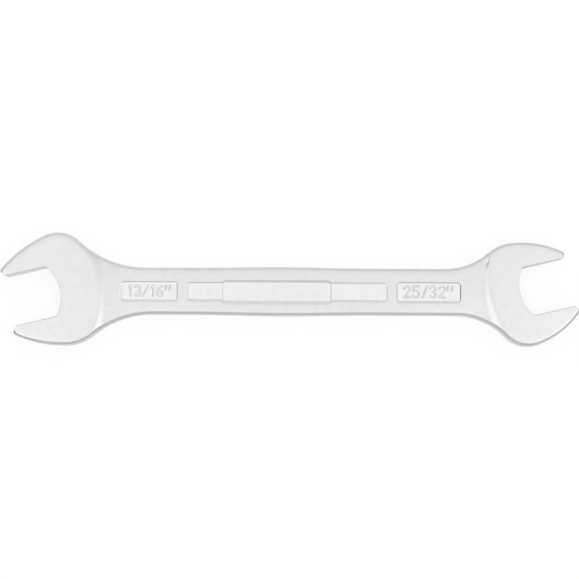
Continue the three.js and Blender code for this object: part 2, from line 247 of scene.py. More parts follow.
def lay_out_side(head, part):
    """Centres and joints of the arcs on the heel or the toe of a head, and its side of the jaw."""
    side = part.side
    part.shoulder = from_jaw(head, side, part.shoulder_along,
                             head.half_opening + part.side_width - part.shoulder_radius)
    part.nose = from_jaw(head, side, part.tip_reach - part.nose_radius,
                         head.half_opening + part.lip)
    part.front = cross_circles(part.shoulder, part.front_radius - part.shoulder_radius,
                               part.nose, part.front_radius - part.nose_radius, -side)
    part.front_end = towards(part.front, part.shoulder, part.front_radius)
    part.nose_end = towards(part.front, part.nose, part.front_radius)
    neck_y = side * (SHANK_HALF_WIDTH + part.neck_radius)
    reach = part.shoulder_radius + part.neck_radius
    neck_x = part.shoulder.real - half_chord(reach, neck_y - part.shoulder.imag)
    part.neck = complex(neck_x, neck_y)
    part.neck_end = towards(part.shoulder, part.neck, part.shoulder_radius)
    part.shank_end = complex(neck_x, side * SHANK_HALF_WIDTH)

    # The lead-in leaves the flat and runs out through the nose.
    part.flat_end = from_jaw(head, side, head.flat_reach, head.half_opening)
    slant = JAW_TURN * (LEAD_IN_TURN if side > 0 else LEAD_IN_TURN.conjugate())
    gap = ((part.flat_end - part.nose) * slant.conjugate()).imag
    part.tip = part.nose + slant * complex(half_chord(part.nose_radius, gap), gap)

    # The fillet between the flat and the throat.
    across = head.half_opening - part.corner_radius
    reach = head.throat_radius - part.corner_radius
    along = head.throat_bottom + head.throat_radius - half_chord(reach, across)
    part.corner = from_jaw(head, side, along, across)
    part.flat_start = from_jaw(head, side, along, head.half_opening)
    part.throat_end = towards(head.throat, part.corner, head.throat_radius)

    clockwise = side < 0
    part.lead_in = Line(part.tip, part.flat_end)
    part.flat = Line(part.flat_end, part.flat_start)
    part.fillet = Arc(part.corner, part.flat_start, part.throat_end, clockwise)
    part.nose_arc = Arc(part.nose, part.tip, part.nose_end, clockwise)
    part.front_arc = Arc(part.front, part.nose_end, part.front_end, clockwise)
    part.shoulder_arc = Arc(part.shoulder, part.front_end, part.neck_end, clockwise)
    part.neck_arc = Arc(part.neck, part.neck_end, part.shank_end, not clockwise)


def lay_out(head):
    head.throat = from_jaw(head, 1, head.throat_bottom + head.throat_radius, 0)
    head.boss = from_jaw(head, 1, head.throat_bottom - head.web + head.boss_radius, 0)
    for part in (head.heel, head.toe):
        lay_out_side(head, part)
    head.throat_arc = Arc(head.throat, head.heel.throat_end, head.toe.throat_end, True)
    head.jaw = [head.throat_arc]
    head.contour = []
    for part in (head.heel, head.toe):
        head.jaw += [part.lead_in, part.flat, part.fillet]
        head.contour += [part.nose_arc, part.front_arc, part.shoulder_arc, part.neck_arc]
    head.straight_reach = min(head.heel.neck.real, head.toe.neck.real)


for each_head in HEADS:
    lay_out(each_head)
SWELL_START = -SWELL_SHARES[0] * LARGE.straight_reach
SWELL_END = SWELL_SHARES[1] * SMALL.straight_reach
SWELL_MIDDLE = (SWELL_START + SWELL_END) / 2
SWELL_HALF_LENGTH = (SWELL_END - SWELL_START) / 2


def shank_side(x):
    share = np.clip((x - SWELL_MIDDLE) / SWELL_HALF_LENGTH, -1, 1)
    return SHANK_HALF_WIDTH + SHANK_SWELL * (1 + np.cos(np.pi * share)) / 2


def half_width(x, side):
    """Half the wrench's width at x, behind the heads' widest places. Side is 1 for +y, else -1."""
    width = shank_side(x)
    for head in HEADS:
        own = x * head.turn
        for part in (head.heel, head.toe):
            mine = side * head.turn == part.side
            reach = abs(part.neck.imag) - half_chord(part.neck_radius, own - part.neck.real)
            width = np.where(mine & (own > part.neck.real), reach, width)
            rise = half_chord(part.shoulder_radius, own - part.shoulder.real)
            reach = part.side * part.shoulder.imag + rise
            width = np.where(mine & (own > part.neck_end.real), reach, width)
    return width


def boss_distance(points):
    """How far points lie outside the round bosses that carry the heads' flat faces."""
    return np.minimum.reduce([abs(points * head.turn - head.boss) - head.boss_radius
                              for head in HEADS])


def contour_distance(points):
    """How far points of the wrench lie from its outer contour, the jaws left out."""
    x, y = points.real, points.imag
    side = np.where(y < 0, -1, 1)
    found = [distance_to(head.contour, points * head.turn) for head in HEADS]
    beside = np.abs(shank_side(x) - abs(y))
    for head in HEADS:
        for part in (head.heel, head.toe):
            past = (x * head.turn > part.neck.real) & (side * head.turn == part.side)
            beside = np.where(past, np.inf, beside)
    return np.minimum.reduce([*found, beside])


def jaw_distance(points):
    return np.minimum.reduce([distance_to(head.jaw, points * head.turn) for head in HEADS])


def of_head(points, name):
    """A value of the head at whose end of the wrench each point lies."""
    return np.where(points.real < 0, getattr(LARGE, name), getattr(SMALL, name))


def edge_drop(points):
    """How far the face drops towards the outer contour: a soft fall, a bevel and its corner."""
    inside = contour_distance(points)
    upper = smooth_step(points.imag, -EDGE_TURN, EDGE_TURN)
    fall = LOWER_EDGE_FALL + (of_head(points, "edge_fall") - LOWER_EDGE_FALL) * upper
    fall += (SHANK_EDGE_FALL - fall) * smooth_step(boss_distance(points), 0, EDGE_FALL_BLEND)
    corner = 1 - np.minimum(inside / EDGE_CORNER, 1)
    return (fall * np.maximum(1 - inside / EDGE_FALL_REACH, 0) ** 2
            + EDGE_BEVEL.drop * np.maximum(1 - inside / EDGE_BEVEL.reach, 0) ** EDGE_BEVEL.power
            + EDGE_CORNER * (1 - np.sqrt(1 - corner ** 2)))


def floor_distance(panel, points):
    """How far points lie outside a panel's floor, as a share of the width of the wall there."""
    middle = complex(panel.start + panel.end, panel.low + panel.high) / 2
    offset = points - middle
    beyond_x = abs(offset.real) - (panel.end - panel.start) / 2 + panel.corner
    beyond_y = abs(offset.imag) - (panel.high - panel.low) / 2 + panel.corner
    outside = np.hypot(np.maximum(beyond_x, 0), np.maximum(beyond_y, 0))
    across = np.maximum(beyond_y, 0) / np.maximum(outside, WALL_TURN)
    wall = np.where(offset.real < 0, START_WALL, panel.end_wall)
    wall = wall + (np.where(offset.imag < 0, panel.low_wall, panel.high_wall) - wall) * across
    distance = outside + np.minimum(np.maximum(beyond_x, beyond_y), 0)
    return 1 + (distance - panel.corner) / wall


def panel_cut(panel, points):
    """Height of the surface that one panel's cutter leaves: a floor and leaning walls."""
    rise = smooth_max(floor_distance(panel, points), 0, PANEL_SOFTNESS)
    return SHANK_HALF - panel.depth * (1 - rise)


def dent_depth(points):
    offset = (points - DENT.middle) * DENT.turn.conjugate()
    width = np.where(offset.imag > 0, DENT.soft_width, DENT.steep_width)
    return DENT.depth * np.exp(-(offset.real / DENT.length) ** 2 - (offset.imag / width) ** 2)


def height(points):
    """Height of the upper skin above the middle plane."""
    y = points.imag
    half = half_width(points.real, np.where(y < 0, -1, 1))
    distance = boss_distance(points)
    past_neck = smooth_step(distance, 0, NECK_RISE_LENGTH)
    across = (y - of_head(points, "neck_middle")) / half
    neck = (1 - past_neck) * np.maximum(1 - across ** 2, 0)
    drop = NECK_CROWN + (SHANK_CROWN - NECK_CROWN) * past_neck
    crown = (SHANK_HALF + of_head(points, "neck_rise") * neck
             - drop * np.minimum(abs(y) / half, 1) ** 2)
    ramp = HEAD_HALF - of_head(points, "ramp_slope") * distance - dent_depth(points)
    face = smooth_max(ramp, crown, of_head(points, "ramp_blend"))
    for panel in PANELS:
        face = smooth_min(face, panel_cut(panel, points), PANEL_SOFTNESS)
    face = smooth_min(face, HEAD_HALF, BOSS_SOFTNESS) - edge_drop(points)
    return smooth_min(face, HEAD_HALF - JAW_BREAK + jaw_distance(points), JAW_SOFTNESS)


def skin_normals(points, surface=height):
    slope_x = surface(points + NORMAL_STEP) - surface(points - NORMAL_STEP)
    slope_y = surface(points + 1j * NORMAL_STEP) - surface(points - 1j * NORMAL_STEP)
    normals = np.stack([-slope_x, -slope_y, np.full(points.shape, 2 * NORMAL_STEP)], -1)
    return normals / np.linalg.norm(normals, axis=-1, keepdims=True)


# Rows along the shank: inner rows run straight along the panels, close together over their walls,
# and strip rows follow the contour at shares of the bevel's reach. Others are spread between them.
FLOOR_ROWS = np.array([0.65, 1.3, 1.95])
WALL_ROWS = np.arange(2.6, 5.65, 0.1)
HALF_ROWS = np.concatenate([FLOOR_ROWS, WALL_ROWS])
ROWS_MIDDLE = -0.3
INNER_ROWS = ROWS_MIDDLE + np.concatenate([-HALF_ROWS[::-1], [0], HALF_ROWS])
STRIP_SHARES = np.array([1.3, 1, 0.93, 0.8, 0.55, 0.3, 0.15, 0.09, 0.04, 0.01, 0])
STRIP_COUNT = len(STRIP_SHARES)
STRIP_WIDTH = EDGE_BEVEL.reach * STRIP_SHARES[0]
BETWEEN_SHARES = np.linspace(0, 1, 14)[1:-1]

# How far each row follows the contour's bends: from the middle row to the one on the contour.
FOLLOW = np.concatenate([np.zeros(len(HALF_ROWS) + 1), BETWEEN_SHARES, np.ones(STRIP_COUNT)])

# The two ends of a boss's edge are joined to the throat at this share of its arc from either end.
# The contour beyond them is sought within SEARCH_REACH, halved at every step.
THROAT_SHARE = 0.2
SEARCH_REACH = 6.0
SEARCH_STEPS = 45


def last_inside(inside, start, end):
    """The last place on the way from start to end that lies inside."""
    for _ in range(SEARCH_STEPS):
        middle = (start + end) / 2
        if inside(middle):
            start = middle
        else:
            end = middle
    return start


def is_clear(point, distance):
    """Whether a point behind a head's widest place lies this far inside the contour."""
    inside = abs(point.imag) < half_width(point.real, math.copysign(1, point.imag))
    return inside and contour_distance(point) > distance


def end_boss(head, part):
    """The last point of the boss's edge clear of the strip, and the contour's point beyond it."""
    def on_boss(y):
        across = y - head.boss.imag
        return head.boss + complex(-half_chord(head.boss_radius, across), across)

    outermost = head.boss.imag + part.side * head.boss_radius
    y = last_inside(lambda y: is_clear(on_boss(y) * head.turn, STRIP_WIDTH), 0, outermost)
    part.boss_end = on_boss(y)
    part.throat_share = THROAT_SHARE if part.side < 0 else 1 - THROAT_SHARE
    part.throat_point = head.throat_arc.at(part.throat_share)
    way = part.boss_end - part.throat_point
    way = way / abs(way)
    reach = last_inside(lambda distance: is_clear((part.boss_end + way * distance) * head.turn, 0),
                        0, SEARCH_REACH)
    part.foot = part.boss_end + way * reach


def boss_station(head):
    """The points where every row of the shank meets a head, from its heel to its toe: along the
    boss's edge, and straight out from the edge's ends to the contour."""
    rows = INNER_ROWS if head.turn > 0 else -INNER_ROWS[::-1]
    inner = head.boss.real - half_chord(head.boss_radius, rows - head.boss.imag) + 1j * rows
    sides = []
    for part, inner_end in ((head.heel, inner[0]), (head.toe, inner[-1])):
        strip = part.foot + (part.boss_end - part.foot) * STRIP_SHARES[::-1] / STRIP_SHARES[0]
        strip[-1] = part.boss_end
        between = Arc(head.boss, part.boss_end, inner_end, part.side < 0).at(BETWEEN_SHARES)
        sides.append(np.concatenate([strip, between]))
    return np.concatenate([sides[0], inner, sides[1][::-1]])


def straight_station(x):
    """The points of every row at x, where the rows run straight along the shank."""
    offsets = EDGE_BEVEL.reach * STRIP_SHARES
    low_strip = offsets - half_width(x, -1)
    high_strip = half_width(x, 1) - offsets
    low = INNER_ROWS[0] + (low_strip[0] - INNER_ROWS[0]) * BETWEEN_SHARES
    high = INNER_ROWS[-1] + (high_strip[0] - INNER_ROWS[-1]) * BETWEEN_SHARES
    return x + 1j * np.concatenate([low_strip[::-1], low[::-1], INNER_ROWS, high, high_strip])


# Shares of the way from the edge of a boss to the first straight station.
RAMP_SHARES = np.concatenate([[0, 0.012], np.arange(0.03, 0.45, 0.02), np.arange(0.47, 0.97, 0.05)])

# Straight stations start LAND before the first panel and end as far behind the last one. From
# END_MARGIN outside a panel to the middle of its corners they are END_STEP apart at the most.
LAND = 1.2
END_MARGIN = 0.2
END_STEP = 0.1
LONG_STEP = 2.6


def straight_stations():
    """The x of the stations that run straight across the shank, dense where a panel ends."""
    first = PANELS[0].start - LAND
    last = PANELS[-1].end + LAND
    marks = []
    for panel in PANELS:
        marks.append((panel.start - END_MARGIN, panel.start + panel.corner))
        marks.append((panel.end - panel.corner, panel.end + END_MARGIN))
    marks.sort()
    x = [first]
    for start, end in [*marks, (last, last)]:
        for goal, step in ((start, LONG_STEP), (end, END_STEP)):
            if goal > x[-1]:
                count = math.ceil((goal - x[-1]) / step)
                x.extend(np.linspace(x[-1], goal, count + 1)[1:])
    return np.array(x)


def bend(start, end):
    """Stations from the edge of a boss up to a straight station."""
    stations = [start]
    for share in RAMP_SHARES[1:]:
        points = start + (end - start) * share
        low, high = points[0], points[-1]
        low_lift = -half_width(low.real, -1) - low.imag
        high_lift = half_width(high.real, 1) - high.imag
        points[:len(FOLLOW)] += 1j * low_lift * FOLLOW[::-1]
        points[-len(FOLLOW):] += 1j * high_lift * FOLLOW
        stations.append(points)
    return stations


def shank_grid():
    """Points of the shank's skin: stations from the large boss to the small one, by rows."""
    straight = [straight_station(x) for x in straight_stations()]
    large = bend(-boss_station(LARGE)[::-1], straight[0])
    small = bend(boss_station(SMALL), straight[-1])
    return np.array(large + straight + small[::-1])


# Lines round a head: distances from the jaw's edge, and from the strip that follows the contour.
# Where the head is narrower than NARROW_HEAD between the two, they close up with it.
JAW_LINES = np.array([0, 0.06, 0.12, 0.16, 0.2, 0.26, 0.4, 0.7, 1.2])
EDGE_LINES = np.array([2.0, 1.2, 0.5, 0])
MIDDLE_SHARES = np.linspace(0, 1, 8)[1:-1]
NARROW_HEAD = 5.0

# Stations from a tip to the boss: distances from the tip and from the boss, steps along the nose,
# front, shoulder and neck, and stations on the fillet. Those closer than LEAST_STEP are one. The
# nose ends opposite NOSE_REACH of the jaw, and the front opposite FRONT_SHARE of its flat.
TIP_STEPS = np.array([0.15, 0.3, 0.4, 0.5, 0.65, 0.9, 1.2])
FOOT_STEPS = np.arange(0, 12, 0.4)
CHAIN_STEPS = (0.3, 1.5, 0.9, 0.5)
FILLET_STATIONS = 9
LEAST_STEP = 0.05
SHARE_DIGITS = 7
NOSE_REACH = 3.2
FRONT_SHARE = 0.93


def tip_shares(chain, jaw_chain):
    """Shares along the contour and the jaw for the stations from a tip to the boss."""
    contour_ends = chain_shares(chain)
    jaw_ends = chain_shares(jaw_chain)
    contour_length = sum(curve.length for curve in chain)
    jaw_length = sum(curve.length for curve in jaw_chain)
    contour_marks = [0, TIP_STEPS[-1] / contour_length, contour_ends[1], contour_ends[2], 1]
    jaw_marks = [0, TIP_STEPS[-1] / jaw_length, NOSE_REACH / jaw_length,
                 jaw_ends[1] * FRONT_SHARE, 1]
    shares = [TIP_STEPS / contour_length, 1 - FOOT_STEPS / contour_length]
    for curve, step, first, last in zip(chain, CHAIN_STEPS, contour_ends, contour_ends[1:]):
        shares.append(np.linspace(first, last, math.ceil(curve.length / step) + 1))
    fillet = np.linspace(jaw_ends[1], jaw_ends[2], FILLET_STATIONS)
    shares.append(np.interp(fillet, jaw_marks, contour_marks))
    shares = np.unique(np.round(np.concatenate(shares), SHARE_DIGITS))
    shares = shares[np.concatenate([[True], np.diff(shares) > LEAST_STEP / contour_length])]
    shares[-1] = 1
    return shares, np.interp(shares, contour_marks, jaw_marks)


def tip_grid(head, part):
    """The jaw, the strip's inner edge and the strip, by stations from a tip to the boss."""
    clockwise = part.side < 0
    chain = [part.nose_arc, part.front_arc, part.shoulder_arc]

    # The contour's point beyond the boss's end lies on the neck, or still on the shoulder.
    if part.foot.real < part.neck_end.real:
        chain.append(Arc(part.neck, part.neck_end, part.foot, not clockwise))
    else:
        chain[-1] = Arc(part.shoulder, part.front_end, part.foot, clockwise)
    throat = Arc(head.throat, part.throat_end, part.throat_point, clockwise)
    jaw_chain = [part.flat, part.fillet, throat]
    shares, jaw_shares = tip_shares(chain, jaw_chain)
    contour = chain_at(chain, shares)
    jaw = chain_at(jaw_chain, jaw_shares)
    contour[-1] = part.foot
    span = abs(jaw - contour)
    width = STRIP_WIDTH * np.minimum(1, span / NARROW_HEAD)
    width += (abs(part.foot - part.boss_end) - STRIP_WIDTH) * shares
    edge = contour + (jaw - contour) / span * width
    edge[-1] = part.boss_end
    strip = contour[:, None] + (edge - contour)[:, None] * STRIP_SHARES[::-1] / STRIP_SHARES[0]
    strip[:, -1] = edge
    return jaw, edge, strip


def head_grid(head):
    """A head's skin inside the strip, by stations from the heel's tip round the throat to the toe's
    tip, and its two strips from tip to boss."""
    boss = boss_station(head)[STRIP_COUNT - 1:1 - STRIP_COUNT]
    walked = np.concatenate([[0], np.cumsum(abs(np.diff(boss)))])
    shares = head.heel.throat_share + walked / walked[-1] * (head.toe.throat_share - THROAT_SHARE)
    heel_jaw, heel_edge, heel_strip = tip_grid(head, head.heel)
    toe_jaw, toe_edge, toe_strip = tip_grid(head, head.toe)
    jaw = np.concatenate([heel_jaw[:-1], head.throat_arc.at(shares), toe_jaw[:-1][::-1]])
    edge = np.concatenate([heel_edge[:-1], boss, toe_edge[:-1][::-1]])
    span = abs(edge - jaw)
    scale = np.minimum(1, span / NARROW_HEAD) / span
    near = JAW_LINES * scale[:, None]
    far = 1 - EDGE_LINES * scale[:, None]
    between = near[:, -1:] + (far[:, :1] - near[:, -1:]) * MIDDLE_SHARES
    grid = jaw[:, None] + (edge - jaw)[:, None] * np.concatenate([near, between, far], axis=1)
    grid[:, -1] = edge
    return grid, heel_strip, toe_strip


def cells(grid):
    """The four corners of every quad of a grid, in turn."""
    return np.stack([grid[:-1, :-1], grid[1:, :-1], grid[1:, 1:], grid[:-1, 1:]], 2)


def add_object(name, data):
    obj = bpy.data.objects.new(name, data)
    bpy.context.scene.collection.objects.link(obj)
    return obj


# Corners that agree to a millionth of a millimetre share a vertex.
KEYS_PER_MM = 1e6

# The attribute that is 0 on the shank's face and 1 in a panel, from this share of its wall inwards.
RECESS = "recess"
RECESS_BLEND = 0.25


class Skin:
    """Quads with a normal at every corner, gathered into one closed mesh."""

    def __init__(self):
        self.quads, self.normals = [], []

    def add_quads(self, quads, normals):
        across = quads[:, 2] - quads[:, 0]
        along = quads[:, 3] - quads[:, 1]
        inward = (np.cross(across, along) * normals.sum(1)).sum(-1) < 0
        self.quads.append(np.where(inward[:, None, None], quads[:, ::-1], quads))
        self.normals.append(np.where(inward[:, None, None], normals[:, ::-1], normals))

    def add(self, positions, normals):
        self.add_quads(cells(positions).reshape(-1, 4, 3), cells(normals).reshape(-1, 4, 3))

    def build(self, name, shift):
        corners = np.concatenate(self.quads).reshape(-1, 3)
        keys = np.round(corners * KEYS_PER_MM).astype(np.int64)
        _, first, same = np.unique(keys, axis=0, return_index=True, return_inverse=True)
        vertices = (corners[first] + shift) * MM
        mesh = bpy.data.meshes.new(name)
        mesh.from_pydata(vertices.tolist(), [], same.reshape(-1, 4).tolist())
        mesh.update()
        mesh.shade_smooth()
        mesh.normals_split_custom_set(np.concatenate(self.normals).reshape(-1, 3).tolist())
        points = corners[first, 0] + 1j * corners[first, 1]
        floor = np.minimum.reduce([floor_distance(panel, points) for panel in PANELS])
        recess = mesh.attributes.new(RECESS, "FLOAT", "POINT")
        recess.data.foreach_set("value", np.clip((1 - floor) / RECESS_BLEND, 0, 1))
        return add_object(name, mesh)


def side_normals(line, inside):
    """Level normals along a line of points, away from a point that lies inside."""
    walked = np.concatenate([[0], np.cumsum(abs(np.diff(line)))])
    way = np.gradient(line, walked)
    normal = -1j * way / abs(way)
    if ((normal * np.conj(line - inside)).real).mean() < 0:
        normal = -normal
    return normal


def level(normal):
    return np.stack([normal.real, normal.imag, np.zeros(normal.shape)], -1)


# Levels of an upright wall, as shares of the height of the skin's edge above it.
WALL_SHARES = np.linspace(1, -1, 7)


def add_wall(skin, line, normal):
    """The upright wall under a line of the upper skin's edge, down to its mirror image below."""
    levels = WALL_SHARES[:, None] * height(line)
    flat = np.broadcast_to(line, levels.shape)
    normals = level(np.broadcast_to(normal, levels.shape))
    skin.add(np.stack([flat.real, flat.imag, levels], -1), normals)


def add_faces(skin, grid, normals):
    """A grid of the upper skin and its mirror image below."""
    up = height(grid)
    for side in (1, -1):
        positions = np.stack([grid.real, grid.imag, side * up], -1)
        skin.add(positions, normals * (1, 1, side))


def add_head(skin, head):
    """The faces inside a head's strips, the jaw's walls and those of its tips."""
    grid, heel_strip, toe_strip = [points * head.turn for points in head_grid(head)]
    normals = skin_normals(grid)

    # At the jaw and the tips the slope isn't measured across the edge, but taken from just inside.
    normals[:, 0] = normals[:, 1]
    normals[0] = normals[1]
    normals[-1] = normals[-2]
    add_faces(skin, grid, normals)
    mouth = head.turn * (head.throat + head.throat_radius * JAW_TURN)
    add_wall(skin, grid[:, 0], -side_normals(grid[:, 0], mouth))
    for part, line, strip in ((head.heel, grid[0], heel_strip), (head.toe, grid[-1], toe_strip)):
        slant = head.turn * (part.flat_end - part.tip)
        normal = 1j * slant / abs(slant)
        if (normal * np.conj(strip[0, 0] - strip[2, 0])).real < 0:
            normal = -normal
        line = np.concatenate([line, strip[0, :-1][::-1]])
        add_wall(skin, line, np.full(line.shape, normal))
    return heel_strip, toe_strip


def make_forging(shift):
    """The whole wrench but for its size marks, as one closed skin."""
    skin = Skin()
    large_heel, large_toe = add_head(skin, LARGE)
    small_heel, small_toe = add_head(skin, SMALL)
    shank = shank_grid()
    shank_normals = skin_normals(shank)

    # The contour on either side runs from one head's tip along the shank to the other head's tip.
    for row, first, last in ((0, large_toe, small_heel), (-1, large_heel, small_toe)):
        line = np.concatenate([first[:, 0], shank[1:-1, row], last[::-1, 0]])
        normal = side_normals(line, 0)
        add_wall(skin, line, normal)
        shank_normals[:, row] = level(normal)[len(first) - 1:1 - len(last)]
        for strip, own in ((first, normal[:len(first)]), (last, normal[:-len(last) - 1:-1])):
            normals = skin_normals(strip)
            normals[0] = normals[1]
            normals[:, 0] = level(own)
            add_faces(skin, strip, normals)
    add_faces(skin, shank, shank_normals)
    return skin.build("wrench_body", shift)


def sweep(centre, radius, first, last):
    """An arc from one angle clockwise to another, in degrees."""
    start, end = [centre + radius * cmath.exp(1j * math.radians(angle)) for angle in (first, last)]
    return Arc(centre, start, end, True)


# Raised sizes: strokes of each glyph in a box one unit high, and the x at which each glyph starts.
GLYPH_WIDTH = 0.5
GLYPHS = {
    "1": [Line(0.22, 0.22 + 1j), Line(0.22 + 1j, 0.06 + 0.82j)],
    "2": [sweep(0.25 + 0.75j, 0.25, 170, -40), Line(0.4415 + 0.5893j, 0), Line(0, 0.5)],
    "3": [sweep(0.25 + 0.75j, 0.25, 155, -90), sweep(0.25 + 0.25j, 0.25, 90, -155)],
    "5": [Line(0.54 + 1j, 0.08 + 1j), Line(0.08 + 1j, 0.0472 + 0.5298j),
          sweep(0.24 + 0.3j, 0.3, 130, -150)],
    "6": [sweep(0.26 + 0.26j, 0.26, 180, -179.9), sweep(0.74 + 0.26j, 0.74, 180, 110)],
    "/": [Line(0, 0.5 + 1j)],
    "steep /": [Line(0, 0.4 + 1j)],
    "inch": [Line(0.08 + 1j, 0.02 + 0.63j), Line(0.47 + 1j, 0.41 + 0.63j)],
}
MARKS = [
    SimpleNamespace(name="large_size_mark", low=-2.15, height=4.15, rise=0.18,
                    glyphs=[("1", -65.3), ("3", -62.55), ("/", -59.3),
                            ("1", -56.1), ("6", -53.6), ("inch", -50.3)]),
    SimpleNamespace(name="small_size_mark", low=-2.21, height=4.5, rise=0.22,
                    glyphs=[("2", 46.55), ("5", 50.05), ("steep /", 54.0),
                            ("3", 56.95), ("2", 60.8), ("inch", 64.0)]),
]

# A stroke is flat to STROKE_FLAT from its middle line and falls to STROKE_REACH, where it ends
# MARK_SINK under the panel's floor. Its base lies at MARK_BASE under the floor.
STROKE_FLAT = 0.05
STROKE_REACH = 0.58
MARK_SINK = 0.06
MARK_BASE = 2 * MARK_SINK
MARK_STEP = 0.095


def mark_distance(mark, points):
    """How far points lie from the strokes of a mark."""
    found = [distance_to(GLYPHS[glyph], (points - complex(left, mark.low)) / mark.height)
             for glyph, left in mark.glyphs]
    return np.minimum.reduce(found) * mark.height


def mark_height(mark, points):
    share = 1 - smooth_step(mark_distance(mark, points), STROKE_FLAT, STROKE_REACH)
    return height(points) + (mark.rise + MARK_SINK) * share - MARK_SINK


def make_mark(mark, shift):
    """Raised strokes as a piece of their own, closed just under the panel's floor."""
    reach = STROKE_REACH + MARK_STEP
    right = mark.glyphs[-1][1] + mark.height * GLYPH_WIDTH
    x = np.arange(mark.glyphs[0][1] - reach, right + reach, MARK_STEP)
    y = np.arange(mark.low - reach, mark.low + mark.height + reach, MARK_STEP)
    points = x[:, None] + 1j * y
    kept = (cells(mark_distance(mark, points)) < STROKE_REACH).any(-1)
    top = cells(np.stack([points.real, points.imag, mark_height(mark, points)], -1))
    base = cells(np.stack([points.real, points.imag, height(points) - MARK_BASE], -1))
    normals = cells(skin_normals(points, lambda places: mark_height(mark, places)))

    skin = Skin()
    skin.add_quads(top[kept], normals[kept])
    skin.add_quads(base[kept], np.broadcast_to([0, 0, -1], base[kept].shape))
    beside = np.pad(kept, 1)
    sides = ((beside[:-2, 1:-1], 0, 3, (-1, 0, 0)), (beside[2:, 1:-1], 1, 2, (1, 0, 0)),
             (beside[1:-1, :-2], 0, 1, (0, -1, 0)), (beside[1:-1, 2:], 2, 3, (0, 1, 0)))
    for neighbour, first, last, normal in sides:
        rim = kept & ~neighbour
        wall = np.stack([base[rim][:, first], base[rim][:, last],
                         top[rim][:, last], top[rim][:, first]], 1)
        skin.add_quads(wall, np.broadcast_to(normal, wall.shape))
    return skin.build(mark.name, shift)


for each_head in HEADS:
    end_boss(each_head, each_head.heel)
    end_boss(each_head, each_head.toe)

# The outline's box is moved onto the middle of the CAD box.
OUTLINE_SHARES = np.linspace(0, 1, 60)
outline = np.concatenate([curve.at(OUTLINE_SHARES) * head.turn
                          for head in HEADS for curve in head.contour])
cad_middle = (cad_low + cad_high) / 2 / MM
to_cad = np.array([
    cad_middle.x - (outline.real.min() + outline.real.max()) / 2,
    cad_middle.y - (outline.imag.min() + outline.imag.max()) / 2,
    cad_middle.z,
])
forging = make_forging(to_cad)
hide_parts(NODE)
steel = [forging] + [make_mark(mark, to_cad) for mark in MARKS]
for piece in steel:
    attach(piece, BODY)


# The middle span of a noise, which holds nearly all of it.
NOISE_SPAN = (0.3, 0.7)


def add_node(owner, kind, **settings):
    """A node of a material or a world."""
    node = owner.node_tree.nodes.new(kind)
    for name, value in settings.items():
        setattr(node, name, value)
    return node


def add_math(owner, operation, *values):
    """One step of arithmetic on other nodes' outputs and plain numbers."""
    node = add_node(owner, "ShaderNodeMath", operation=operation)
    for socket, value in zip(node.inputs, values):
        if isinstance(value, bpy.types.NodeSocket):
            owner.node_tree.links.new(value, socket)
        else:
            socket.default_value = value
    return node.outputs["Value"]


def add_noise(material, coordinates, noise):
    """Noise whose grains are as wide as its size, in metres."""
    node = add_node(material, "ShaderNodeTexNoise")
    node.inputs["Scale"].default_value = 1 / noise.size
    node.inputs["Detail"].default_value = noise.detail
    material.node_tree.links.new(coordinates, node.inputs["Vector"])
    return node.outputs["Fac"]


def add_range(owner, source, span, source_span=NOISE_SPAN):
    """A value spread from one span over another, and held at its ends."""
    spread = add_node(owner, "ShaderNodeMapRange")
    names = ("From Min", "From Max", "To Min", "To Max")
    for name, value in zip(names, (*source_span, *span)):
        spread.inputs[name].default_value = value
    owner.node_tree.links.new(source, spread.inputs["Value"])
    return spread.outputs["Result"]


def add_bump(material, coordinates, noise, below=None):
    """Dents as deep as a noise says, in metres, on top of the ones below."""
    bump = add_node(material, "ShaderNodeBump")
    bump.inputs["Strength"].default_value = 1
    bump.inputs["Distance"].default_value = noise.depth
    material.node_tree.links.new(add_noise(material, coordinates, noise), bump.inputs["Height"])
    if below:
        material.node_tree.links.new(below, bump.inputs["Normal"])
    return bump.outputs["Normal"]


# Satin chrome: bright, finely blasted, mottled a little, and waved by the forging under it, with
# painted shade on its flanks.
CHROME_GREY = (0.812, 0.848)
CHROME_ROUGHNESS = (0.28, 0.35)
MOTTLE = SimpleNamespace(size=2.4 * MM, detail=3)
FORGE_WAVE = SimpleNamespace(size=16 * MM, depth=0.03 * MM, detail=1)
BLAST_GRAIN = SimpleNamespace(size=0.5 * MM, depth=0.004 * MM, detail=2)
# Painted shade on the flanks: how dark the base colour gets on upright walls, and the upward parts
# of the normal between which that shade fades out.
FLANK_SHADE_TONE = 0.73
FLANK_SHADE_FACING = (0.55, 0.75)
RECESS_TONE = 1.085


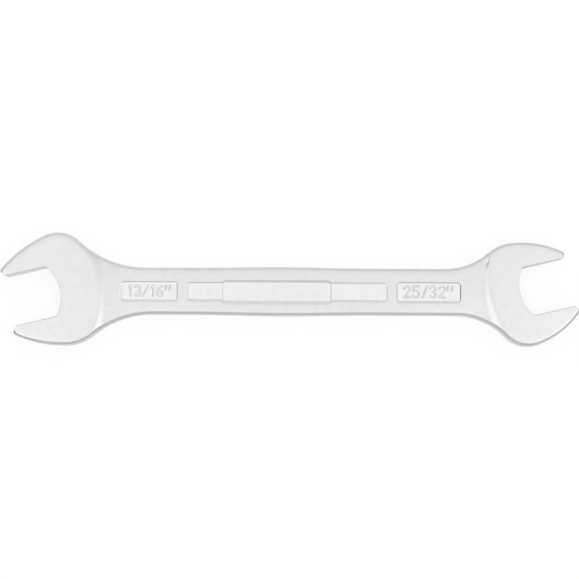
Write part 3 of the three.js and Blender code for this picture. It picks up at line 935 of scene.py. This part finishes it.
def make_satin_chrome():
    material = bpy.data.materials.new("satin_chrome")
    material.use_nodes = True
    links = material.node_tree.links
    shader = material.node_tree.nodes["Principled BSDF"]
    shader.inputs["Metallic"].default_value = 1
    place = add_node(material, "ShaderNodeTexCoord").outputs["Object"]

    # Painted shade: the base colour is darker where the surface leans away from level, so the
    # flanks and the steep part of the bevels read darker.
    facing = add_node(material, "ShaderNodeSeparateXYZ")
    links.new(add_node(material, "ShaderNodeTexCoord").outputs["Normal"], facing.inputs["Vector"])
    upright = add_math(material, "ABSOLUTE", facing.outputs["Z"])
    painted_flank_shade = add_range(material, upright, (FLANK_SHADE_TONE, 1), FLANK_SHADE_FACING)

    # The panels' floors and walls have a base colour a little brighter than the face around them.
    recess = add_node(material, "ShaderNodeAttribute", attribute_name=RECESS)
    recess_lift = add_range(material, recess.outputs["Fac"], (1, RECESS_TONE), (0, 1))

    mottle = add_noise(material, place, MOTTLE)
    links.new(add_range(material, mottle, CHROME_ROUGHNESS), shader.inputs["Roughness"])
    tone = add_math(material, "MULTIPLY", add_range(material, mottle, CHROME_GREY),
                    add_math(material, "MULTIPLY", painted_flank_shade, recess_lift))
    grey = add_node(material, "ShaderNodeCombineColor")
    for channel in ("Red", "Green", "Blue"):
        links.new(tone, grey.inputs[channel])
    links.new(grey.outputs["Color"], shader.inputs["Base Color"])

    waved = add_bump(material, place, FORGE_WAVE)
    links.new(add_bump(material, place, BLAST_GRAIN, waved), shader.inputs["Normal"])
    return material


satin_chrome = make_satin_chrome()
for piece in steel:
    piece.data.materials.append(satin_chrome)

# Floor: it reads white to the eye and to the metal, and still takes a soft shadow.
FLOOR_REACH = 3.0
FLOOR_DROP = 0.02 * MM
FLOOR_GREY = 0.9
FLOOR_GLOW = 0.84
FLOOR_SHADED_GREY = 0.21


def add_diffuse(material, grey):
    diffuse = add_node(material, "ShaderNodeBsdfDiffuse")
    diffuse.inputs["Color"].default_value = (grey, grey, grey, 1)
    return diffuse.outputs["BSDF"]


def make_floor_material():
    """A plain grey for diffuse light, and a glow with a shadow for eye, metal and glass."""
    material = bpy.data.materials.new("pale_floor")
    material.use_nodes = True
    nodes, links = material.node_tree.nodes, material.node_tree.links
    nodes.remove(nodes["Principled BSDF"])
    glow = add_node(material, "ShaderNodeEmission")
    glow.inputs["Strength"].default_value = FLOOR_GLOW
    seen = add_node(material, "ShaderNodeAddShader")
    links.new(glow.outputs["Emission"], seen.inputs[0])
    links.new(add_diffuse(material, FLOOR_SHADED_GREY), seen.inputs[1])

    path = add_node(material, "ShaderNodeLightPath").outputs
    eye_or_metal = add_math(material, "MAXIMUM", path["Is Camera Ray"], path["Is Glossy Ray"])
    direct = add_math(material, "MAXIMUM", eye_or_metal, path["Is Transmission Ray"])
    either = add_node(material, "ShaderNodeMixShader")
    links.new(direct, either.inputs[0])
    links.new(add_diffuse(material, FLOOR_GREY), either.inputs[1])
    links.new(seen.outputs["Shader"], either.inputs[2])
    links.new(either.outputs["Shader"], nodes["Material Output"].inputs["Surface"])
    return material


floor_mesh = bpy.data.meshes.new("floor")
floor_corners = [(FLOOR_REACH * x, FLOOR_REACH * y, 0)
                 for x, y in ((-1, -1), (1, -1), (1, 1), (-1, 1))]
floor_mesh.from_pydata(floor_corners, [], [(0, 1, 2, 3)])
floor_mesh.materials.append(make_floor_material())
floor = add_object("floor", floor_mesh)
floor.location.z = -FLOOR_DROP

# Light: a plain studio, paler behind the wrench than before it and dimmer on either side, with a
# broad bright ceiling that ends at a front edge, and a soft box on the left and on the right.
# Their limits are parts of the unit vector that points there, and for the ceiling's round edge
# the cosine of the angle from its middle.
STUDIO_LEVELS = (0.58, 0.71)
STUDIO_DEPTH = (-0.5, 0.4)
SIDE_TONE = 0.4
SIDE_SHIFT = -0.1
SIDE_REACH = (0.75, 1.0)
CEILING_LEVEL = 0.93
CEILING_LEAN = Vector((0, -0.1, 1)).normalized()
CEILING_EDGES = (math.cos(math.radians(50)), math.cos(math.radians(15)))
CEILING_FRONT = (-0.7, -0.55)
BOX_SIZE = 0.4
BOX_WATTS = 0.415
BOX_PLACES = {"left_box": Vector((-0.46, -0.13, 0.88)), "right_box": Vector((0.46, -0.13, 0.88))}


def make_studio():
    world = bpy.data.worlds.new("studio")
    world.use_nodes = True
    links = world.node_tree.links
    way = add_node(world, "ShaderNodeTexCoord").outputs["Generated"]
    parts = add_node(world, "ShaderNodeSeparateXYZ")
    links.new(way, parts.inputs["Vector"])

    depth = add_range(world, parts.outputs["Y"], STUDIO_LEVELS, STUDIO_DEPTH)
    shifted = add_math(world, "ADD", parts.outputs["X"], SIDE_SHIFT)
    beside = add_math(world, "ABSOLUTE", shifted)
    walls = add_math(world, "MULTIPLY", depth,
                     add_range(world, beside, (1, SIDE_TONE), SIDE_REACH))

    # The ceiling's share runs from the walls' level to its own.
    towards_ceiling = add_node(world, "ShaderNodeVectorMath", operation="DOT_PRODUCT")
    towards_ceiling.inputs[1].default_value = CEILING_LEAN
    links.new(way, towards_ceiling.inputs[0])
    fall = add_range(world, towards_ceiling.outputs["Value"], (0, 1), CEILING_EDGES)
    front = add_range(world, parts.outputs["Y"], (0, 1), CEILING_FRONT)
    for spread in (fall, front):
        spread.node.interpolation_type = "SMOOTHSTEP"
    share = add_math(world, "MULTIPLY", fall, front)
    total = add_range(world, share, (0, CEILING_LEVEL), (0, 1))
    links.new(walls, total.node.inputs["To Min"])
    background = world.node_tree.nodes["Background"]
    background.inputs["Color"].default_value = (1, 1, 1, 1)
    links.new(total, background.inputs["Strength"])
    return world


def add_soft_box(name, place):
    """A square area lamp that faces the middle of the wrench."""
    light = bpy.data.lights.new(name, "AREA")
    light.size = BOX_SIZE
    light.energy = BOX_WATTS
    lamp = add_object(name, light)
    lamp.location = place
    lamp.rotation_euler = place.to_track_quat("Z", "Y").to_euler()


bpy.context.scene.world = make_studio()
for box_name, box_place in BOX_PLACES.items():
    add_soft_box(box_name, box_place)

# Camera: nearly straight above the wrench, aimed at the height of the heads' faces.
CAMERA_DISTANCE = 0.76
CAMERA_TILT = math.radians(5.8)
CAMERA_ROLL = math.radians(0.28)
CAMERA_TARGET = Vector((-0.000196, -0.00012, 2 * HEAD_HALF * MM))
FIELD_WIDTH = 0.23442
SENSOR_WIDTH = 36
camera_data = bpy.data.cameras.new("camera")
camera = add_object("camera", camera_data)
bpy.context.scene.camera = camera
camera_data.sensor_width = SENSOR_WIDTH
camera_data.lens = SENSOR_WIDTH * CAMERA_DISTANCE / FIELD_WIDTH
back = Vector((0, -math.sin(CAMERA_TILT), math.cos(CAMERA_TILT)))
right = Vector((math.cos(CAMERA_ROLL), math.sin(CAMERA_ROLL), 0))
right = (right - back * right.dot(back)).normalized()
up = back.cross(right)
pose = Matrix((right, up, back)).transposed().to_4x4()
pose.translation = CAMERA_TARGET + back * CAMERA_DISTANCE
camera.matrix_world = pose

bpy.context.scene.view_settings.view_transform = "Standard"
